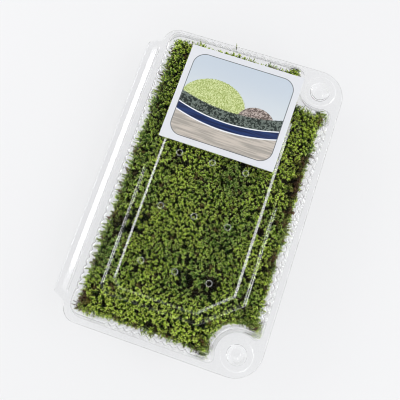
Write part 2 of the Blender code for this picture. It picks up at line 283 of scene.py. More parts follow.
def add_strip(bm, root, z, bead):
    """The strip from the rim's straight hinge side out to the fold, with its low, lopsided bead."""
    columns = [root]
    root_end = root[0].co.y
    for inward in STRIP_COLUMNS:
        end = HINGE_TIP_END + (root_end - HINGE_TIP_END) * inward / HINGE_STRIP
        column = []
        for vert in root:
            y = vert.co.y * end / root_end
            column.append(bm.verts.new((-WIDTH / 2 + inward, y, z + bead * bead_rise(inward, y))))
        columns.append(column)
    for inner, outer in zip(columns, columns[1:]):
        for i in range(len(root) - 1):
            bm.faces.new((inner[i], inner[i + 1], outer[i + 1], outer[i]))


def add_rim(bm, z, lip, bead):
    """The rim: rolled edge, step and hinge strip. Returns the step's inner ring."""
    rings = [ring(bm, flange_outline(inset), z + rise * lip) for inset, rise in RIM_LIP]
    rings += [ring(bm, flange_outline(inset), z + rise) for inset, rise in RIM_STEP]
    bridge_all(bm, rings)
    root = [vert for vert in rings[0] if abs(vert.co.x - LEFT) < 1e-3]
    root.sort(key=lambda vert: -vert.co.y)
    for vert in root:
        vert.co.z = z
    add_strip(bm, root, z, bead)
    return rings[-1]


def snap_pad(bm, centre, base, profile):
    """The raised round pad and the button or socket in its middle. Returns the pad's outer ring."""
    edge = []
    for i in range(5):
        share = i / 4
        edge.append((PAD_RADIUS - PAD_EDGE * share, base + PAD_RISE * share * share * (3 - 2 * share)))
    return turned(bm, centre, edge + profile, PAD_STEPS)


def mesh_object(name, bm):
    bmesh.ops.scale(bm, vec=(MM, MM, MM), verts=bm.verts)
    mesh = bpy.data.meshes.new(name)
    bm.to_mesh(mesh)
    bm.free()
    return new_object(name, mesh)


def formed_sheet(name, bm, facing, creases=()):
    """A sheet whose drawn side faces up (1) or down (-1), with its thickness behind that side.
    The creases are rings of vertices along which it bends sharply."""
    bm.verts.index_update()
    sharp = {frozenset((a.index, b.index)) for line in creases for a, b in zip(line, line[1:] + line[:1])}
    bmesh.ops.recalc_face_normals(bm, faces=bm.faces)
    widest = max(bm.faces, key=lambda face: face.calc_area())
    if widest.normal.z * facing < 0:
        bmesh.ops.reverse_faces(bm, faces=bm.faces)
    obj = mesh_object(name, bm)
    obj.data.shade_smooth()
    obj.data.set_sharp_from_angle(angle=math.radians(SHARP_BEND))
    for edge in obj.data.edges:
        if frozenset(edge.vertices) in sharp:
            edge.use_edge_sharp = True
    thickness = obj.modifiers.new("sheet", "SOLIDIFY")
    thickness.thickness = SHEET * MM
    thickness.offset = -1.0
    flats = obj.modifiers.new("flats", "WEIGHTED_NORMAL")
    flats.keep_sharp = True
    return obj


def feed(tree, made, values):
    """Gives a node's inputs, by name or number, their values or links."""
    for key, value in values.items():
        if isinstance(value, bpy.types.NodeSocket):
            tree.links.new(value, made.inputs[key])
        else:
            made.inputs[key].default_value = value


def node(tree, kind, values=None, **settings):
    made = tree.nodes.new(kind)
    for name, value in settings.items():
        setattr(made, name, value)
    feed(tree, made, values or {})
    return made


def own_place(tree):
    return node(tree, "ShaderNodeTexCoord").outputs["Object"]


def speckle(place, density, detail):
    values = {"Vector": place, "Scale": density, "Detail": detail}
    return node(place.id_data, "ShaderNodeTexNoise", values).outputs["Fac"]


def bump(height, distance, strength=1.0):
    values = {"Height": height, "Distance": distance, "Strength": strength}
    return node(height.id_data, "ShaderNodeBump", values).outputs["Normal"]


def new_material(name):
    made = bpy.data.materials.new(name)
    made.use_nodes = True
    return made, made.node_tree, made.node_tree.nodes["Principled BSDF"]


def waviness_group():
    """The faint waves and scuffs of a thin thermoformed sheet, as a normal and a roughness."""
    group = bpy.data.node_groups.new("sheet_waviness", "ShaderNodeTree")
    for name in ("Wave Size", "Wave Height", "Least Roughness", "Most Roughness"):
        group.interface.new_socket(name, in_out="INPUT", socket_type="NodeSocketFloat")
    group.interface.new_socket("Normal", in_out="OUTPUT", socket_type="NodeSocketVector")
    group.interface.new_socket("Roughness", in_out="OUTPUT", socket_type="NodeSocketFloat")
    given = node(group, "NodeGroupInput").outputs
    place = own_place(group)
    density = node(group, "ShaderNodeMath", {0: 1.0, 1: given["Wave Size"]}, operation="DIVIDE").outputs[0]
    waves = bump(speckle(place, density, 1.0), given["Wave Height"])
    scuffs = node(group, "ShaderNodeMapRange", {
        "Value": speckle(place, 90.0, 3.0), "From Min": 0.45, "From Max": 0.75,
        "To Min": given["Least Roughness"], "To Max": given["Most Roughness"],
    })
    node(group, "NodeGroupOutput", {"Normal": waves, "Roughness": scuffs.outputs[0]})
    return group


def sheet_material(name, colour, ior, wave_size, least, most, wave_height=0.00003, clear=1.0):
    """Clear sheet: see-through, glossy and very slightly wavy, from the least to the most roughness."""
    made, tree, shader = new_material(name)
    values = {"Wave Size": wave_size, "Wave Height": wave_height, "Least Roughness": least,
              "Most Roughness": most}
    waves = node(tree, "ShaderNodeGroup", values, node_tree=waviness).outputs
    feed(tree, shader, {"Base Color": (*colour, 1.0), "Transmission Weight": clear, "IOR": ior,
                        "Normal": waves["Normal"], "Roughness": waves["Roughness"]})
    # So thin a sheet bends no light aside: what lies under it is lit straight through it.
    path = node(tree, "ShaderNodeLightPath").outputs
    straight = node(tree, "ShaderNodeBsdfTransparent", {"Color": (*STRAIGHT_THROUGH, 1.0)}).outputs[0]
    seen = shader.outputs[0]
    for ray in ("Is Diffuse Ray", "Is Shadow Ray"):
        seen = node(tree, "ShaderNodeMixShader", {0: path[ray], 1: seen, 2: straight}).outputs[0]
    tree.links.new(seen, tree.nodes["Material Output"].inputs["Surface"])
    return made


def wall_rings(bm, stations):
    """Rings of the cavity wall. Each station is inset, height and the share of the flutes' depth."""
    return [ring(bm, cavity_outline(inset, FLUTE_DEPTH * share), z) for inset, z, share in stations]


bm = bmesh.new()
tray_top = TRAY_DEPTH + STEP_RISE
rim = add_rim(bm, TRAY_DEPTH, 1.0, -BEAD_HEIGHT)
socket_floor = tray_top - SOCKET_DEPTH
pad_top = tray_top + PAD_RISE
socket = [(SOCKET_RADIUS + 0.7, pad_top), (SOCKET_RADIUS + 0.3, pad_top - 0.12),
          (SOCKET_RADIUS, pad_top - 0.5), (SOCKET_RADIUS - 1.2, socket_floor + 0.6),
          (SOCKET_RADIUS - 1.7, socket_floor), (0, socket_floor)]
pads = [snap_pad(bm, (BUTTON.x, y), tray_top, socket) for y in (BUTTON.y, -BUTTON.y)]
wall = wall_rings(bm, (
    (-0.07, tray_top, 0.0),
    (0.15, tray_top - 1.2, 0.05),
    (0.5, tray_top - 2.6, 0.2),
    (1.6, 19.0, 0.6),
    (3.2, 13.5, 1.0),
    (5.6, 4.0, 1.0),
    (6.1, 2.6, 0.9),
    (6.8, 1.5, 0.6),
    (8.0, 0.8, 0.2),
    (FLOOR_EDGE, SHEET, 0.0),
))
bridge_all(bm, wall)
fill(bm, rim, wall[0], *pads)
fill(bm, wall[-1])
tray = formed_sheet("tray_clear_sheet", bm, 1)
waviness = waviness_group()
tray.data.materials.append(sheet_material("tray_clear_plastic", CLEAR_COLOUR, ior=1.30,
                                          wave_size=0.02, least=0.02, most=0.09))
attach(tray, "tray")
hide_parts("tray")

# ---- Moss --------------------------------------------------------------------------------
# One mat of a star-shaped mat-forming moss, lifted whole: leafy shoots that stand side by side,
# brown and leafless below, pressed into the tray's flutes and against the lid.

LID_BASE = 25.0
LID_WALL = 9.6
LID_DRAFT = 2.4
SHOULDER_RISE = 11.2
SHOULDER_INSET = 7.2
PANEL_FOOT_RISE = 12.0
PANEL_RISE = 14.5

MOSS_SEED = 7
TIP_CLEARANCE = 0.7  # between the tips and the lid
WALL_CLEARANCE = 0.35  # between the leaves and the walls
TOP_HEIGHT = 37.2
TOP_LUMP = 1.6
SHOOT_SPACING = 2.6
SIDE_SPACING = 3.1
EDGE_GAP = 0.8  # between the side shoots and the wall, where the wall is nearest
SIDE_INSET = 4.7  # of the mat's upright side, inside the cavity's edge
BED_DROP = 5.0
STEM_LENGTH = 6.0
FRINGE_LENGTH = 7.0
FRINGE_SPACING = 0.5
FRINGE_HEIGHTS = (23.0, 32.5)
GRID_PITCH = 3.0  # of the points on top of the bed
GRID_INSET = 9.8  # of the outermost of them, inside the cavity's edge
LEAF_WIDEST = 0.45  # share along a leaf at which it is widest
STEM_RADIUS = 0.26
FLAT_SPECULAR = 0.1  # leaves and stems hardly gleam
# Hollows where the mat has thinned out: X, Y, radius and depth
HOLLOWS = (
    (-33, -33, 8.0, 6.0), (-39, -38, 7.0, 5.0), (23, -56.5, 8.0, 6.0), (9, -55, 5.0, 3.5),
    (26, -79, 5.0, 2.5), (-21, 16, 4.5, 3.0), (44, -16, 4.0, 3.0), (18, 22, 4.0, 2.0),
    (-3, -90, 4.0, 3.0), (28, -31, 4.0, 2.0), (-36, -84, 4.5, 2.5), (51, 18, 5.0, 3.0),
)
# Tufts of the edge that have died back: X, Y and radius
BROWN_TUFTS = (
    (57, 36, 5.5), (57, 25, 5.0), (57, 15, 5.0), (57, 4, 4.0), (57, -5, 3.5), (57, -30, 5.0),
    (-51, -33, 5.0), (-51, -50, 4.0), (-51, -62, 4.0), (-47, -87, 4.0), (-24, -95, 3.0), (8, -94, 3.0),
    (30, -87, 3.0),
)

rng = np.random.default_rng(MOSS_SEED)
rim_line = np.array(cavity_outline(0.0, 0.0))


def wall_distance(points):
    """For many points seen from above: distance from the cavity's edge, and direction away from it."""
    ends = np.roll(rim_line, -1, axis=0)
    runs = ends - rim_line
    lengths = (runs**2).sum(1)
    best = np.full(len(points), np.inf)
    away = np.zeros((len(points), 2))
    for start, run, length in zip(rim_line, runs, lengths):
        if length < 1e-9:
            continue
        share = np.clip(((points[:, :2] - start) @ run) / length, 0, 1)
        gap = points[:, :2] - start - share[:, None] * run
        distance = np.hypot(gap[:, 0], gap[:, 1])
        sign = np.where(run[0] * gap[:, 1] - run[1] * gap[:, 0] >= 0, 1.0, -1.0)
        nearer = distance < np.abs(best)
        best = np.where(nearer, distance * sign, best)
        away[nearer] = gap[nearer] * sign[nearer, None] / np.maximum(distance[nearer, None], 1e-6)
    return best, away


def wall_inset(height):
    """How far the closed pack's wall stands inside the cavity's edge at this height."""
    heights = (SHEET, 2.6, 4.0, 22.7, 25.3, 27.0, LID_BASE + LID_WALL, LID_BASE + SHOULDER_RISE,
               LID_BASE + PANEL_FOOT_RISE)
    return np.interp(height, heights, (FLOOR_EDGE, 6.1, 5.6, 0.5, 0.0, 0.3, LID_DRAFT, SHOULDER_INSET, 14.0))


def ceiling(distance):
    """The lid's height over a point this far inside the cavity's edge."""
    return np.interp(distance, (0.0, 0.8, LID_DRAFT, SHOULDER_INSET, 17.0, 24.0),
                     (LID_BASE + 1.5, LID_BASE + 3.0, LID_BASE + LID_WALL, LID_BASE + SHOULDER_RISE,
                      LID_BASE + PANEL_FOOT_RISE, LID_BASE + PANEL_RISE))


def flute_depth(points):
    """How far the creases between the flutes stand in at these places."""
    x, y = points[:, 0], points[:, 1]
    on_side = np.where(x > 0, LONG_FLUTES_SNAP, LONG_FLUTES_HINGE)
    side = (np.abs(y) < on_side) & (np.minimum(RIGHT - FLANGE - x, x - LEFT - FLANGE) < 9)
    phase = np.where(side, y + on_side, x - SHORT_FLUTES[0]) * math.pi / FLUTE_PITCH
    end = (x > SHORT_FLUTES[0]) & (x < SHORT_FLUTES[1]) & (END - FLANGE - np.abs(y) < 9)
    return np.where(side | end, FLUTE_DEPTH * (1.0 - np.abs(np.cos(phase))), 0.0)


def wander(points, size, seed):
    """Smooth noise from -1 to 1 at many points, seen from above."""
    return np.array([noise.noise(Vector((p[0] / size, p[1] / size, seed))) for p in points])


def top_height(points, distance):
    """The height of the shoots' tips at many points."""
    height = TOP_HEIGHT + TOP_LUMP * (wander(points, 15.0, 8.1) + 0.6 * wander(points, 6.0, 2.3))
    for x, y, radius, depth in HOLLOWS:
        far = np.hypot(points[:, 0] - x, points[:, 1] - y) / radius
        height -= depth * np.exp(-far**2)
    return np.minimum(height, ceiling(distance - 1.0) - TIP_CLEARANCE - 0.8)


def thinning(points):
    """How far the mat has thinned out at many points: 0 where it is dense, 1 in the middle of a hollow."""
    thin = np.zeros(len(points))
    for x, y, radius, depth in HOLLOWS:
        far = np.hypot(points[:, 0] - x, points[:, 1] - y) / radius
        thin = np.maximum(thin, min(1.0, depth / 3.5) * np.exp(-far**4))
    return thin


def died_back(points):
    """How far the shoots of the edge have died back at many points, from 0 to 1."""
    dead = np.zeros(len(points))
    for x, y, radius in BROWN_TUFTS:
        dead = np.maximum(dead, np.exp(-(((points[:, 0] - x) ** 2 + (points[:, 1] - y) ** 2) / radius**2)))
    return dead


def varied(middles, spread):
    """Values that scatter by chance about the middle ones, kept between 0 and 1."""
    return np.clip(middles + rng.normal(0, spread, len(middles)), 0, 1)


def unit(rows):
    return rows / np.linalg.norm(rows, axis=1)[:, None]


def leaf(length, width, rise, turn, height, droop):
    """One narrow keeled leaf: a base, two edges, a keel and a tip, as five points."""
    out = Vector((math.cos(turn), math.sin(turn), 0))
    side = Vector((-out.y, out.x, 0))
    along = out * math.cos(rise) + Vector((0, 0, math.sin(rise)))
    above = -out * math.sin(rise) + Vector((0, 0, math.cos(rise)))
    base = Vector((0, 0, height))
    middle = base + along * length * LEAF_WIDEST
    tip = base + along * length - above * droop
    edge = above * width * 0.25
    half = side * width / 2
    return [base, middle + half + edge, middle - half + edge, middle - above * width * 0.3, tip]


LEAF_FACES = np.array(((0, 2, 1), (1, 2, 4), (0, 1, 3), (0, 3, 2), (1, 4, 3), (3, 4, 2)))
STEM_FACES = np.array((
    (0, 1, 2), (3, 5, 4), (0, 3, 4), (0, 4, 1), (1, 4, 5), (1, 5, 2), (2, 5, 3), (2, 3, 0),
))
GOLDEN_TURN = math.radians(137.5)


def shoot_form(leaves, longest, widest, stem, pitch, fresh_and_lit, bend=0.0):
    """A leafy shoot, tip at the origin: points, faces, the share along each leaf (-1 on the stem), and
    how light each leaf is. Its upper leaves are mostly light in their young colour, and which leaves are
    light and which dark is partly left to chance, as painted highlight and shade. It bends sideways towards
    its foot."""
    points, faces, shares, light = [], [], [], []
    start = rng.uniform(0, 2 * math.pi)
    for i in range(leaves):
        age = (i + 0.5) / leaves
        rise = math.radians(74 - 64 * age**0.85 + rng.uniform(-14, 14))
        length = longest * (0.6 + 0.4 * min(1.0, age * 1.8)) * rng.uniform(0.8, 1.15)
        width = widest * (0.75 + 0.25 * age) * rng.uniform(0.85, 1.2)
        turn = start + i * GOLDEN_TURN + rng.uniform(-0.2, 0.2)
        faces.append(LEAF_FACES + len(points))
        points += leaf(length, width, rise, turn, -0.3 - i * pitch, length * rng.uniform(0.02, 0.2))
        shares += [0.0, LEAF_WIDEST, LEAF_WIDEST, 0.35, 1.0]
        # Light leaves carry a painted highlight and dark ones painted shade, on top of the colour of young
        # and old leaves.
        lit = rng.random() < fresh_and_lit * (1.45 if age < 0.55 else 0.5)
        light += [rng.uniform(0.40, 1.0) if lit else rng.uniform(0.0, 0.35)] * 5
    faces.append(STEM_FACES + len(points))
    for height, radius in ((-0.5, STEM_RADIUS * 0.6), (-stem, STEM_RADIUS)):
        for k in range(3):
            angle = start + k * 2 * math.pi / 3
            points.append(Vector((radius * math.cos(angle), radius * math.sin(angle), height)))
            shares.append(-1.0)
            light.append(0.0)
    points = np.array(points)
    points[:, 0] += bend * points[:, 2] ** 2
    return points, np.concatenate(faces), np.array(shares), np.array(light)


def upright_turn(heading, spin):
    """A rotation that takes +Z to this heading, after a spin about it."""
    tilt = Vector((0, 0, 1)).rotation_difference(Vector(heading))
    return np.array(tilt.to_matrix() @ Matrix.Rotation(spin, 3, "Z"))


def keep_inside(points):
    """Points pushed back inside the pack's walls and under its lid."""
    points = points.copy()
    distance, away = wall_distance(points)
    need = wall_inset(points[:, 2]) + WALL_CLEARANCE + flute_depth(points)
    push = np.where(points[:, 2] < LID_BASE + LID_WALL, np.maximum(0.0, need - distance), 0.0)
    points[:, :2] += away * push[:, None]
    roof = ceiling(np.maximum(0.0, distance + push - flute_depth(points) * 0.5)) - TIP_CLEARANCE * 0.5
    points[:, 2] = np.clip(points[:, 2], SHEET + 0.3, np.maximum(roof, LID_BASE))
    return points


def shoots_object(name, forms, rows, near_wall=True):
    """Many shoots joined in one mesh, with what colours each leaf kept as attributes. The rows are
    the shoots' places, headings, sizes, tones and how far each has died back."""
    places, headings, sizes, tones, deaths = rows
    picks = rng.integers(0, len(forms), len(places))
    spins = rng.uniform(0, 2 * math.pi, len(places))
    points, faces, shares, light = zip(*(forms[pick] for pick in picks))
    counts = [len(form) for form in points]
    faces = np.concatenate([form + first for form, first in zip(faces, np.cumsum(counts) - counts)])
    turns = [upright_turn(heading, spin).T for heading, spin in zip(headings, spins)]
    points = [form @ turn * size + place for form, turn, size, place in zip(points, turns, sizes, places)]
    points = np.concatenate(points)
    if near_wall:
        points = keep_inside(points)
    else:
        points[:, 2] = np.minimum(points[:, 2], LID_BASE + PANEL_RISE - TIP_CLEARANCE * 0.5)
    mesh = bpy.data.meshes.new(name)
    mesh.vertices.add(len(points))
    mesh.vertices.foreach_set("co", (points * MM).astype(np.float32).ravel())
    mesh.loops.add(faces.size)
    mesh.loops.foreach_set("vertex_index", faces.ravel().astype(np.int32))
    mesh.polygons.add(len(faces))
    mesh.polygons.foreach_set("loop_start", np.arange(0, faces.size, 3, dtype=np.int32))
    mesh.update(calc_edges=True)
    kinds = {"along_leaf": np.concatenate(shares), "leaf_light": np.concatenate(light),
             "shoot_tone": np.repeat(tones, counts), "dead_share": np.repeat(deaths, counts)}
    for label, values in kinds.items():
        kept = mesh.attributes.new(label, "FLOAT", "POINT")
        kept.data.foreach_set("value", values.astype(np.float32))
    mesh.materials.append(leaf_material)
    return new_object(name, mesh)


def ramp(value, low, high):
    """0 at low, 1 at high, smooth between."""
    values = {"Value": value, "From Min": low, "From Max": high}
    return node(value.id_data, "ShaderNodeMapRange", values, interpolation_type="SMOOTHSTEP").outputs[0]


def mix_colour(factor, first, second):
    values = {0: factor, 6: first, 7: second}
    values.update({key: (*value, 1.0) for key, value in values.items() if isinstance(value, tuple)})
    return node(factor.id_data, "ShaderNodeMix", values, data_type="RGBA").outputs[2]


def shade(value, low, high, first, second):
    """The first colour up to low and the second from high on."""
    return mix_colour(ramp(value, low, high), first, second)


def moss_leaf_material():
    """Green leaves, darker at their foot and yellow-green at the tip, with brown dead shoots. How light each
    leaf is, partly its young colour and partly painted highlight and shade, sets its blade and tip; the pale
    tips of light leaves are partly pale leaf points and partly a painted highlight.
    """
    made, tree, shader = new_material("moss_leaf")
    along, tone, dead, light = (
        node(tree, "ShaderNodeAttribute", attribute_name=label).outputs["Fac"]
        for label in ("along_leaf", "shoot_tone", "dead_share", "leaf_light")
    )
    flecks = speckle(own_place(tree), 900.0, 2.0)
    old_leaf = mix_colour(tone, (0.007, 0.034, 0.001), (0.026, 0.090, 0.003))
    new_leaf = mix_colour(tone, (0.13, 0.37, 0.010), (0.66, 0.93, 0.04))
    # Dark foot, blade and tip for leaves in painted shade, light ones for leaves with a painted highlight.
    foot = shade(light, 0.3, 1.0, (0.006, 0.016, 0.001), (0.05, 0.11, 0.005))
    blade = shade(light, 0.10, 0.80, old_leaf, new_leaf)
    tip = shade(light, 0.35, 0.85, (0.03, 0.07, 0.006), (1.0, 1.0, 0.42))
    colour = shade(along, 0.10, 0.60, foot, blade)
    colour = shade(along, 0.45, 0.95, colour, tip)
    brown = shade(flecks, 0.35, 0.65, (0.060, 0.026, 0.012), (0.20, 0.105, 0.045))
    brown = shade(light, 0.1, 0.8, (0.025, 0.012, 0.006), brown)
    colour = mix_colour(dead, colour, brown)
    colour = shade(along, -0.2, -0.6, colour, (0.045, 0.030, 0.010))
    gloss = node(tree, "ShaderNodeMapRange", {"Value": flecks, "To Min": 0.30, "To Max": 0.55}).outputs[0]
    feed(tree, shader, {"Base Color": colour, "Roughness": gloss, "Specular IOR Level": FLAT_SPECULAR})
    return made


# The mat below the shoots: matted brown stems and old leaves, coloured nearly black as painted
# shade of the deep gaps between the shoots. Each level is its height, its inset from the cavity's
# edge, and the share of the flutes' depth that it follows.
bed_levels = (
    (0.9, 9.3, 0.0), (3.2, 7.6, 0.4), (12.0, 7.0, 0.5), (22.0, 6.8, 0.5), (27.0, 6.8, 0.5), (31.5, 6.9, 0.0),
)
bm = bmesh.new()
bed_rings = []
for z, inset, share in bed_levels:
    outline = []
    for x, y in cavity_outline(inset, FLUTE_DEPTH * share):
        uneven = 0.5 * noise.noise(Vector((x / 3.0, y / 3.0, z / 4.0)))
        middle = Vector((-x, -math.copysign(max(0.0, abs(y) - 45.0), y))).normalized()
        outline.append((x + middle.x * (0.6 + uneven), y + middle.y * (0.6 + uneven)))
    bed_rings.append(ring(bm, outline, z))
bridge_all(bm, bed_rings)
bm.faces.new(reversed(bed_rings[0]))
edge_line = [tuple(vert.co.xy) for vert in bed_rings[-1]]
grid = [Vector((x, y)) for x in np.arange(-52, 62, GRID_PITCH) for y in np.arange(-96, 97, GRID_PITCH)]
grid = [point for point in grid if inside(point, edge_line)]
grid_places = np.array([tuple(point) for point in grid])
grid_distance = wall_distance(grid_places)[0]
grid_heights = top_height(grid_places, grid_distance) - BED_DROP
lumps = []
for point, height, distance in zip(grid, grid_heights, grid_distance):
    if distance > GRID_INSET:
        height += 0.8 * noise.noise(Vector((*point, 0)) / 2.5)
        lumps.append(bm.verts.new((point.x, point.y, height)))
fill(bm, bed_rings[-1], loose=lumps)
bmesh.ops.recalc_face_normals(bm, faces=bm.faces)
bed = mesh_object("moss_bed", bm)
bed.data.shade_smooth()
made, tree, shader = new_material("moss_bed_stems_painted_shade")
place = own_place(tree)
stretched = node(tree, "ShaderNodeMapping", {"Vector": place, "Scale": (1.0, 1.0, 0.25)}).outputs[0]
strands = speckle(stretched, 700.0, 4.0)
patches = speckle(place, 60.0, 2.0)
# Near-black browns and greens: the stems' own colour, darkened as painted shade of the gaps.
brown = shade(strands, 0.35, 0.65, (0.003, 0.002, 0.001), (0.020, 0.014, 0.007))
green = shade(strands, 0.35, 0.65, (0.002, 0.003, 0.001), (0.012, 0.018, 0.004))
colour = shade(patches, 0.4, 0.6, brown, green)
feed(tree, shader, {"Base Color": colour, "Roughness": 0.85, "Specular IOR Level": FLAT_SPECULAR,
                    "Normal": bump(strands, 0.0008)})
bed.data.materials.append(made)
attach(bed, "tray")
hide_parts("moss_mat")

leaf_material = moss_leaf_material()
top_forms = [shoot_form(leaves=16, longest=1.9, widest=0.62, stem=STEM_LENGTH, pitch=0.15, fresh_and_lit=0.6)
             for _ in range(24)]
side_forms = [shoot_form(leaves=11, longest=2.1, widest=0.62, stem=STEM_LENGTH * 0.8, pitch=0.30, fresh_and_lit=0.55)
              for _ in range(8)]
fringe_forms = [shoot_form(leaves=20, longest=1.2, widest=0.5, stem=FRINGE_LENGTH, pitch=0.24, fresh_and_lit=0.75,
                           bend=rng.uniform(0.0, 0.03)) for _ in range(12)]

# Shoots of the top, on an uneven triangular grid. They lean outward near the edge, are lighter at
# both ends of the mat and darker along the hinge, darker in its hollows as painted shade, and brown
# in tufts at its edge.
row_pitch = SHOOT_SPACING * math.sqrt(3) / 2
places = []
for row in range(math.ceil(LENGTH / row_pitch)):
    for column in range(math.ceil(WIDTH / SHOOT_SPACING)):
        places.append((-WIDTH / 2 + (column + row % 2 / 2) * SHOOT_SPACING, -END + row * row_pitch))
places = np.array(places) + rng.uniform(-0.7, 0.7, (len(places), 2))
distance, away = wall_distance(places)
ragged = 3.4 * np.maximum(0.0, wander(places, 11.0, 6.6)) + 1.0 * wander(places, 3.0, 1.1)
thin = thinning(places)
within = distance > SIDE_INSET + ragged + 0.6 * flute_depth(places)
keep = within & (rng.random(len(places)) > 0.03 + 0.7 * thin)
places, distance, away, thin = places[keep], distance[keep], away[keep], thin[keep]
heights = top_height(places, distance) - 2.0 * rng.random(len(places)) ** 1.6
lean_out = np.clip((13.0 - distance) / 9.0, 0, 1)[:, None]
leans = -away * lean_out * 1.1 + rng.normal(0, 0.26, (len(places), 2))
headings = unit(np.column_stack((leans, np.ones(len(places)))))
near_end = np.clip((-62.0 - places[:, 1]) / 20.0, 0, 1) + 1.3 * np.clip((places[:, 1] - 66.0) / 15.0, 0, 1)
hinge_side = np.clip((-36.0 - places[:, 0]) / 10.0, 0, 1)
# The thinning term darkens the hollows' shoots: painted shade.
tones = varied(0.58 + 0.75 * near_end - 0.50 * hinge_side + 0.75 * wander(places, 18.0, 5.5)
               + 0.40 * wander(places, 7.0, 1.7) - 0.25 * thin, 0.17)
edge_brown = np.clip((10.0 - distance) / 4.0, 0, 1) * (0.15 + 2.2 * wander(places, 7.0, 9.9))
deaths = np.clip(edge_brown + 1.6 * died_back(places) + rng.normal(0, 0.25, len(places)) - 0.15, 0, 1)
deaths = np.where(rng.random(len(places)) < 0.02, 0.9, deaths)
sizes = rng.uniform(0.85, 1.2, len(places)) * (1.0 + 0.25 * thin + 0.12 * near_end)
top = np.column_stack((places, heights))
areas = {"moss_shoots_near": (-200, -51.0), "moss_shoots_lower": (-51.0, -2.0),
         "moss_shoots_upper": (-2.0, 47.0), "moss_shoots_far": (47.0, 200)}
for name, (low, high) in areas.items():
    part = (top[:, 1] >= low) & (top[:, 1] < high)
    rows = [values[part] for values in (top, headings, sizes, tones, deaths)]
    shoots = shoots_object(name, top_forms, rows)
    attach(shoots, "tray")
    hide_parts("moss_mat")


def stations(inset, spacing, least, most, walked=0.0):
    """Unevenly spaced places along the cavity's outline, this far inside its edge."""
    outline = [Vector(point) for point in cavity_outline(inset, 0.0)]
    for start, end in zip(outline, outline[1:] + outline[:1]):
        length = (end - start).length
        while walked < length:
            yield start.lerp(end, walked / length)
            walked += spacing * rng.uniform(least, most)
        walked -= length


# Shoots of the edge, which lie outward into the flutes, uneven in reach, and brown in tufts.
fringe = [(*place, rng.uniform(*FRINGE_HEIGHTS)) for place in stations(0.0, FRINGE_SPACING, 0.6, 1.4)]
fringe = np.array(fringe)
inward = wall_distance(fringe * 0.97)[1]
short = np.where(fringe[:, 0] > 40, 0.4, -0.3) + np.where(np.abs(fringe[:, 1]) > 85, 0.9, 0.0)
from_button = np.hypot(fringe[:, 0] - BUTTON.x, np.abs(fringe[:, 1]) - BUTTON.y)
short += np.where(from_button < NOTCH_RADIUS + 2.0, 1.0, 0.0)
uneven = 3.4 * wander(fringe, 11.0, 6.6) + 1.8 * wander(fringe, 4.0, 7.1)
teeth = np.where(fringe[:, 0] > 40, 2.8, 1.5)
creases = flute_depth(fringe + np.column_stack((inward, np.zeros(len(fringe))))) / FLUTE_DEPTH
reach = wall_inset(fringe[:, 2]) + FLUTE_DEPTH * creases + teeth * np.sqrt(creases)
reach += np.maximum(0.3, short + uneven + 3.8 * rng.random(len(fringe)) ** 0.6)
fringe[:, :2] += inward * reach[:, None]
headings = np.column_stack((-inward, rng.uniform(-0.1, 0.75, len(fringe))))
headings = unit(headings + rng.normal(0, 0.22, (len(fringe), 3)))
tones = varied(0.65 + 0.5 * wander(fringe, 9.0, 2.2), 0.2)
deaths = varied(3.0 * wander(fringe, 8.0, 9.9) - 0.45 + 1.8 * died_back(fringe), 0.25)
sizes = rng.uniform(0.8, 1.15, len(fringe))
fringe_shoots = shoots_object("moss_shoots_edge", fringe_forms, (fringe, headings, sizes, tones, deaths))
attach(fringe_shoots, "tray")
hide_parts("moss_mat")

# A loose shoot, forked in two, that lies across the far rim.
loose_places = np.array(((-10.7, 104.4, 26.2), (-9.6, 101.9, 26.2)))
loose_headings = np.array(((-0.31, 0.95, 0.0), (0.25, 0.97, 0.0)))
rows = (loose_places, loose_headings, (0.8, 0.45), (0.9, 0.7), (0.2, 0.5))
loose = shoots_object("moss_shoot_loose", fringe_forms, rows, near_wall=False)
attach(loose, "lid")

# Shoots of the side, which lie against the walls, browner towards the foot, and darker green than
# the top as painted shade.
side = []
for z in np.arange(4.5, LID_BASE + 8.5, SIDE_SPACING):
    inset = max(float(wall_inset(z)) + EDGE_GAP, SIDE_INSET)
    walked = rng.uniform(0, SIDE_SPACING)
    side += [(*place, z) for place in stations(inset, SIDE_SPACING, 0.75, 1.25, walked)]
side = np.array(side)
side[:, 2] += rng.uniform(-1.2, 1.2, len(side))
distance, away = wall_distance(side)
ragged = 1.9 * np.abs(wander(side, 9.0, 3.7)) + 0.6 * flute_depth(side) + rng.uniform(0.0, 1.0, len(side))
side[:, :2] += away * ragged[:, None]
headings = np.column_stack((-away * 0.9, np.full(len(side), 0.75)))
headings = unit(headings + rng.normal(0, 0.25, (len(side), 3)))
# The side's low tone is painted shade.
tones = varied(0.3 + 0.5 * wander(side, 14.0, 4.4), 0.15)
deaths = varied(0.75 - side[:, 2] / 32.0 + 0.8 * wander(side, 12.0, 9.9), 0.15)
sizes = rng.uniform(0.8, 1.15, len(side))
side_shoots = shoots_object("moss_shoots_side", side_forms, (side, headings, sizes, tones, deaths))
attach(side_shoots, "tray")
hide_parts("moss_mat")

# ---- Lid ---------------------------------------------------------------------------------
# The upper half of the same sheet, folded over along the hinge. Its walls are fluted like the
# tray's, its top is raised in a panel with small round rings and a low bead along its foot, and
# its two snap buttons are pressed into the tray's sockets.

